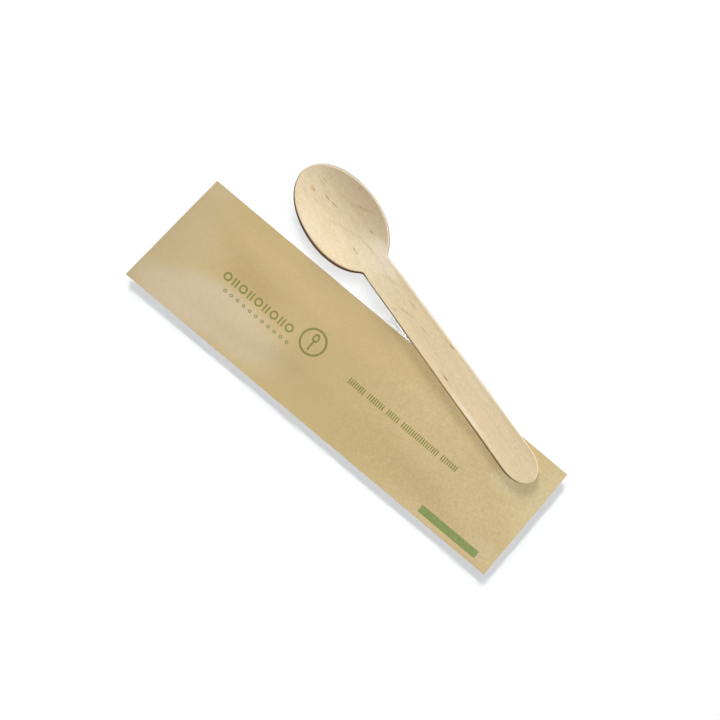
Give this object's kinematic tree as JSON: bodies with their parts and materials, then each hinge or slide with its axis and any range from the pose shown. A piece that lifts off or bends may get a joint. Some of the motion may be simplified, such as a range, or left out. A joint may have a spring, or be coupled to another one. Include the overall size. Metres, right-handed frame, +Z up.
{
  "type": "wooden cutlery pack",
  "caption": "Flat sealed kraft paper sachet with a pressed wooden spoon, the handle resting on the paper and the bowl beside it.",
  "frame": {"origin": "centre of the sachet's flat underside, on the plane that the pack rests on", "axes": "+X along the sachet towards the handle end of the spoon, +Y across it towards the spoon's bowl, +Z up"},
  "size_m": [0.1927, 0.0916, 0.0068],
  "materials": {
    "kraft_paper": "matt unbleached paper with green print",
    "birch_wood": "bare sanded birch veneer"
  },
  "bodies": {
    "root": {"paper_sachet": "kraft_paper", "wooden_spoon": "birch_wood"}
  },
  "joints": []
}
